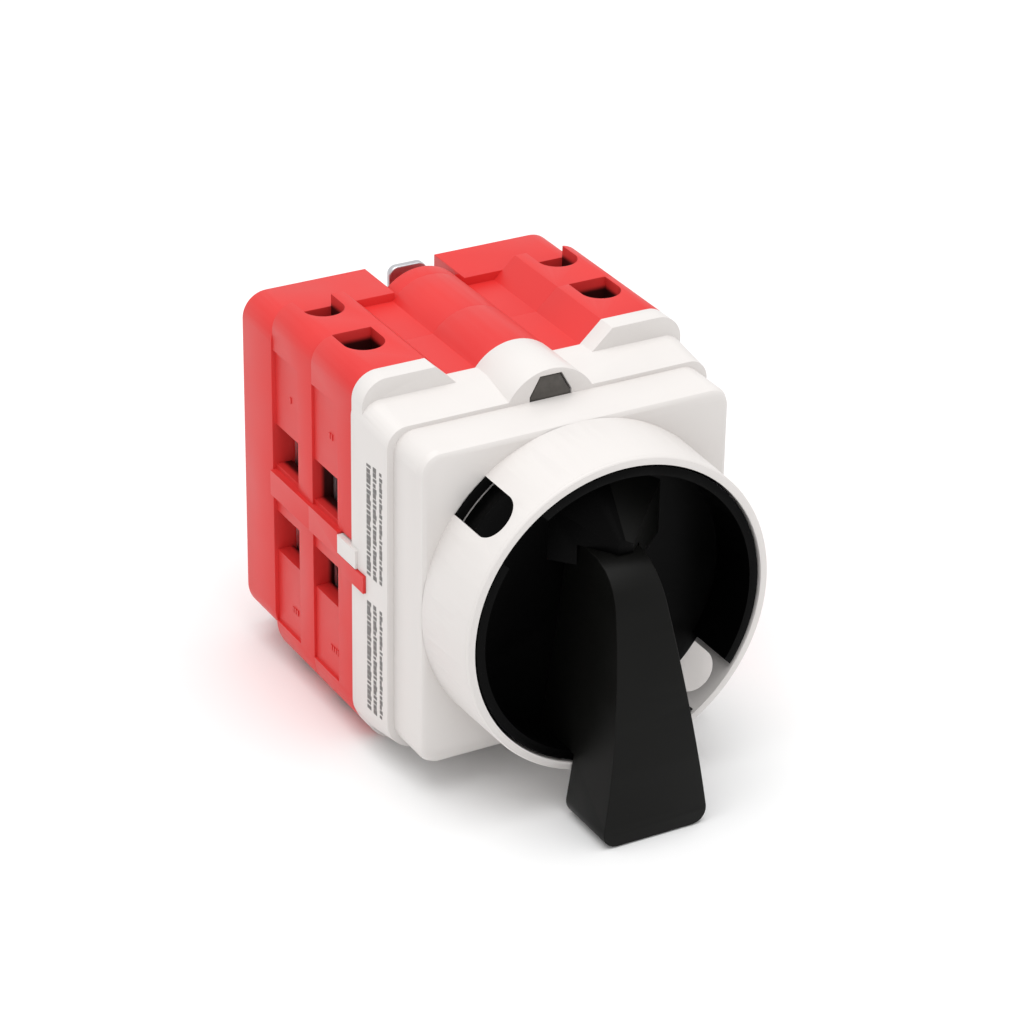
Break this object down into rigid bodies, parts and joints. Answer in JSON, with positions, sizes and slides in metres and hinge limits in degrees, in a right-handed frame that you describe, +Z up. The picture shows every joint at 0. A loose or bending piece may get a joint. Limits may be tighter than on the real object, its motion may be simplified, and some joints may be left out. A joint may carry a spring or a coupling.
{
  "type": "manual transfer switch",
  "caption": "Two-pole manual transfer switch, positions I-0-II: red contact block, white housing and plate, padlock collar and black lever dial.",
  "frame": {"origin": "where the shaft axis meets the rear mounting face, centre of the four fixing threads", "axes": "+Z up, the shaft runs along Y, the front with the lever faces -Y"},
  "size_m": [0.0684, 0.1053, 0.0764],
  "materials": {
    "red_plastic": "moulded, satin",
    "white_plastic": "moulded, satin",
    "black_plastic": "moulded, fine grain",
    "zinc_steel": "zinc plated",
    "cam_plastic": "moulded",
    "spring_steel": "drawn",
    "yoke_plastic": "moulded",
    "copper": "stamped copper, clean",
    "silver": "silver alloy",
    "brass_insert": "turned, knurled",
    "dark_steel": "blackened",
    "seal_rubber": "moulded"
  },
  "bodies": {
    "switch_body": {"rear_cover": "red_plastic", "stage_rear": "red_plastic", "stage_front": "red_plastic", "front_housing": "white_plastic", "front_plate": "white_plastic", "padlock_collar": "white_plastic", "detent_springs": "spring_steel", "fixed_contacts": "copper", "contact_tips": "silver", "terminal_clamps": "zinc_steel", "terminal_screws": "zinc_steel", "through_bolts": "zinc_steel", "bolt_nuts": "zinc_steel", "fixing_inserts": "brass_insert", "rail_latch_spring": "spring_steel", "catch_spring": "spring_steel", "plate_gasket": "seal_rubber", "shaft_seal": "seal_rubber"},
    "rotor": {"dial_cup": "black_plastic", "lever_grip": "black_plastic", "handle_screw": "zinc_steel", "switch_shaft": "zinc_steel", "cam_rear": "cam_plastic", "cam_front": "cam_plastic", "index_wheel": "cam_plastic"},
    "yoke_rear_set": {"yoke_rear": "yoke_plastic", "bridges_rear": "copper", "contact_springs_rear": "spring_steel"},
    "yoke_front_set": {"yoke_front": "yoke_plastic", "bridges_front": "copper", "contact_springs_front": "spring_steel"},
    "latch": {"rail_latch": "zinc_steel"},
    "catch": {"plate_catch": "dark_steel"}
  },
  "joints": [
    {"name": "handle_turn", "type": "hinge", "parent": "switch_body", "child": "rotor", "pos_m": [0, 0, 0], "axis": [0, -1, 0], "range_deg": [-60, 60], "deforming": ["detent_springs"]},
    {"name": "yoke_rear_slide", "type": "slide", "parent": "switch_body", "child": "yoke_rear_set", "axis": [0, 0, 1], "range_m": [-0.0022, 0.0022]},
    {"name": "yoke_front_slide", "type": "slide", "parent": "switch_body", "child": "yoke_front_set", "axis": [0, 0, 1], "range_m": [-0.0022, 0.0022]},
    {"name": "rail_latch_slide", "type": "slide", "parent": "switch_body", "child": "latch", "axis": [0, 0, 1], "range_m": [0, 0.0025], "stiffness_N_per_m": 2000, "springref_m": -0.002, "deforming": ["rail_latch_spring"]},
    {"name": "plate_catch_press", "type": "slide", "parent": "switch_body", "child": "catch", "axis": [0, 0, -1], "range_m": [0, 0.0012], "stiffness_N_per_m": 2000, "springref_m": -0.001, "deforming": ["catch_spring"]}
  ],
  "couplings": [
    {"joint": "yoke_rear_slide", "follows": "handle_turn", "m_per_rad": 0.0021},
    {"joint": "yoke_front_slide", "follows": "handle_turn", "m_per_rad": 0.0021}
  ]
}
